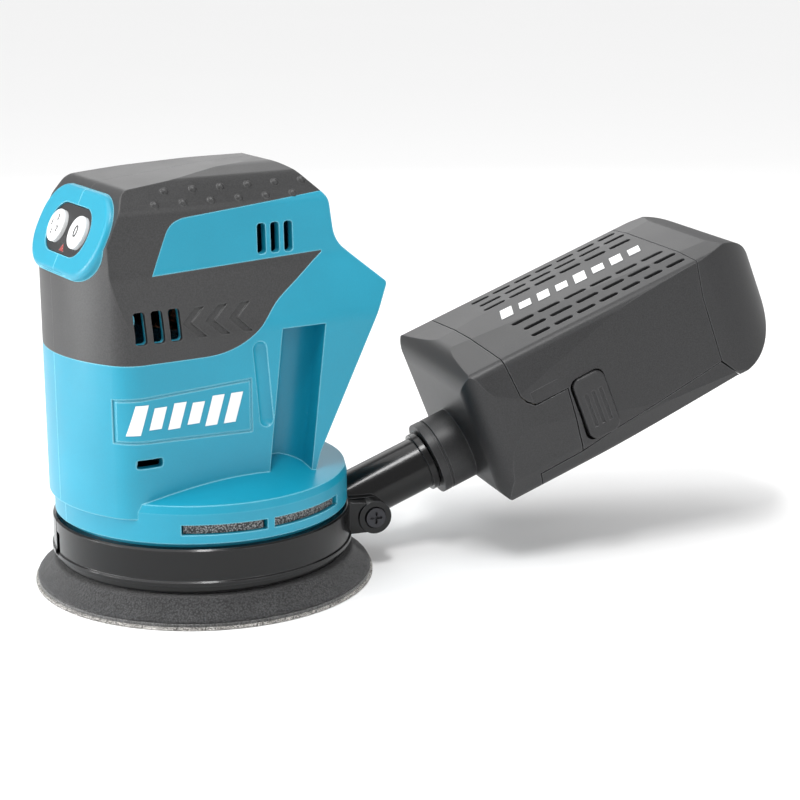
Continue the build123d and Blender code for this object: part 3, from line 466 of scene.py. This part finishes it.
def symbol(text, size, across, up):
    clearSelection()
    bpy.ops.object.text_add()
    letter = bpy.context.object
    letter.data.body = text
    letter.data.size = size
    letter.data.align_x = "CENTER"
    letter.data.align_y = "CENTER"
    letter.data.extrude = keySymbols["thick"]
    pick(letter)
    bpy.ops.object.convert(target="MESH")
    proud = keySymbols["face"] + keySymbols["thick"] * 0.5
    settle(letter, panelPlace @ Matrix.Translation((across, up, proud)))
    return letter


inkGrey = moulded("InkGrey", dict(mouldedLooks["soft_grip"], colour=(0.06, 0.06, 0.065), speckle=0.1))
stopMark = joined("stopMark", [symbol("0", keySymbols["size"], keyX, 0)])
finishPiece(stopMark, "off_key", "black_matte", inkGrey)
signs = [symbol(text, keySymbols["small"], across * mm - keyX, up * mm) for text, across, up in startSigns]
startMark = joined("startMark", signs)
finishPiece(startMark, "on_key", "black_matte", inkGrey)
print("key symbols done")


# wire gauze behind the exhaust slots of the fan housing
ventGauze = dict(radius=0.0521, low=0.03135, high=0.03465, thick=0.0004, steps=360,
                 arcs=((-33.2, -1.1), (2.5, 38.7)))


def gauzeArc(start, end, side):
    clearSelection()
    bpy.ops.mesh.primitive_circle_add(vertices=ventGauze["steps"], radius=ventGauze["radius"],
                                      location=(0, 0, ventGauze["low"]), fill_type="NOTHING")
    arc = bpy.context.object
    bpy.ops.object.transform_apply(location=True)
    bpy.ops.object.mode_set(mode="EDIT")
    bpy.ops.mesh.select_all(action="SELECT")
    bpy.ops.mesh.extrude_region_move(
        TRANSFORM_OT_translate={"value": (0, 0, ventGauze["high"] - ventGauze["low"])})
    bpy.ops.mesh.select_all(action="DESELECT")
    shape = bmesh.from_edit_mesh(arc.data)
    for vertex in shape.verts:
        angle = math.degrees(math.atan2(vertex.co.y, vertex.co.x * side))
        vertex.select = not start <= angle <= end
    shape.select_flush_mode()
    bmesh.update_edit_mesh(arc.data)
    bpy.ops.mesh.delete(type="VERT")
    bpy.ops.mesh.select_all(action="SELECT")
    bpy.ops.mesh.normals_make_consistent(inside=False)
    bpy.ops.object.mode_set(mode="OBJECT")
    useModifier(arc, "SOLIDIFY", {"thickness": ventGauze["thick"], "offset": 0})
    return arc


gauzeLook = dict(wire=(0.42, 0.41, 0.40), hole=(0.05, 0.05, 0.05), mesh=1 / 1600, depth=0.0003)


def gauzeFinish():
    finish = Finish("GauzeWire", {"Metallic": 0.6})
    weave = finish.cells(finish.spot(), gauzeLook["mesh"])
    smear = finish.noise(finish.spot(), 0.004, 3.0)
    holes = (weave * 2 - 0.3).clip()
    finish.paint("Base Color", finish.blend(holes, tint(gauzeLook["wire"], 1), tint(gauzeLook["hole"], 1)))
    finish.paint("Roughness", 0.4 + smear * 0.2)
    finish.paint("Normal", finish.bump(1 - weave, gauzeLook["depth"]))
    return finish.material


arcs = [gauzeArc(start, end, side) for side in (1, -1) for start, end in ventGauze["arcs"]]
gauze = joined("ventGauze", arcs)
finishPiece(gauze, "housing", "steel", gauzeFinish())
print("vent gauze done")


# floor, light and camera
room = dict(floor=(0.93, 0.93, 0.93), sky=(1.0, 1.0, 1.0), skyStrength=0.6, width=14, under=0.0002)
clearSelection()
bpy.ops.mesh.primitive_plane_add(size=room["width"], location=(0, 0, -room["under"]))
floor = bpy.context.object
floor.name = "floor"
paper = Finish("FloorPaper", {"Specular IOR Level": 0.1})
tone = paper.noise(paper.spot(), 0.4, 2.0)
paper.paint("Base Color", paper.blend(tone, tint(room["floor"], 0.99), tint(room["floor"], 1.0)))
paper.paint("Roughness", 0.9 + tone * 0.05)
floor.data.materials.append(paper.material)

world = bpy.data.worlds.new("studio")
bpy.context.scene.world = world
world.use_nodes = True
world.node_tree.nodes["Background"].inputs[0].default_value = room["sky"] + (1.0,)
world.node_tree.nodes["Background"].inputs[1].default_value = room["skyStrength"]

softBoxes = {
    "keyLight": dict(place=(-0.1, -0.9, 0.42), aim=(0.0, 0.05, 0.07), size=(0.2, 0.6), power=4.2),
    "lowStrip": dict(place=(-0.22, -0.55, 0.14), aim=(0.0, 0.0, 0.02), size=(0.05, 0.2), power=1.4),
    "tubeStrip": dict(place=(0.27, -0.12, 0.8), aim=(0.03, 0.09, 0.05), size=(0.1, 0.3), power=3.0),
    "sideLight": dict(place=(0.85, 0.25, 0.6), aim=(0.0, 0.12, 0.06), size=(0.15, 0.5), power=1.6),
    "backLight": dict(place=(-0.7, 0.4, 0.5), aim=(0.0, 0.1, 0.08), size=(0.5, 0.5), power=1.2)}
for name, look in softBoxes.items():
    lamp = bpy.data.lights.new(name, "AREA")
    lamp.shape = "RECTANGLE"
    lamp.size, lamp.size_y = look["size"]
    lamp.energy = look["power"]
    holder = bpy.data.objects.new(name, lamp)
    bpy.context.collection.objects.link(holder)
    holder.location = look["place"]
    aim = Vector(look["aim"]) - holder.location
    holder.rotation_euler = aim.to_track_quat("-Z", "Y").to_euler()

# a wide, even light over the whole floor
overhead = dict(tilt=(0.35, -0.25, 0.0), strength=1.3, spread=0.9)
lamp = bpy.data.lights.new("overhead", "SUN")
lamp.energy = overhead["strength"]
lamp.angle = overhead["spread"]
holder = bpy.data.objects.new("overhead", lamp)
bpy.context.collection.objects.link(holder)
holder.rotation_euler = overhead["tilt"]

eye = dict(place=(0.628, -0.300, 0.247), azimuth=58.4, elevation=14.7, lens=87.75)
bearing = math.radians(eye["azimuth"])
rise = math.radians(eye["elevation"])
cameraData = bpy.data.cameras.new("eye")
cameraData.lens = eye["lens"]
camera = bpy.data.objects.new("eye", cameraData)
bpy.context.collection.objects.link(camera)
camera.location = eye["place"]
towards = Vector((-math.sin(bearing) * math.cos(rise), math.cos(bearing) * math.cos(rise), -math.sin(rise)))
camera.rotation_euler = towards.to_track_quat("-Z", "Y").to_euler()
bpy.context.scene.camera = camera
bpy.context.scene.view_settings.view_transform = "Standard"
print("room done")
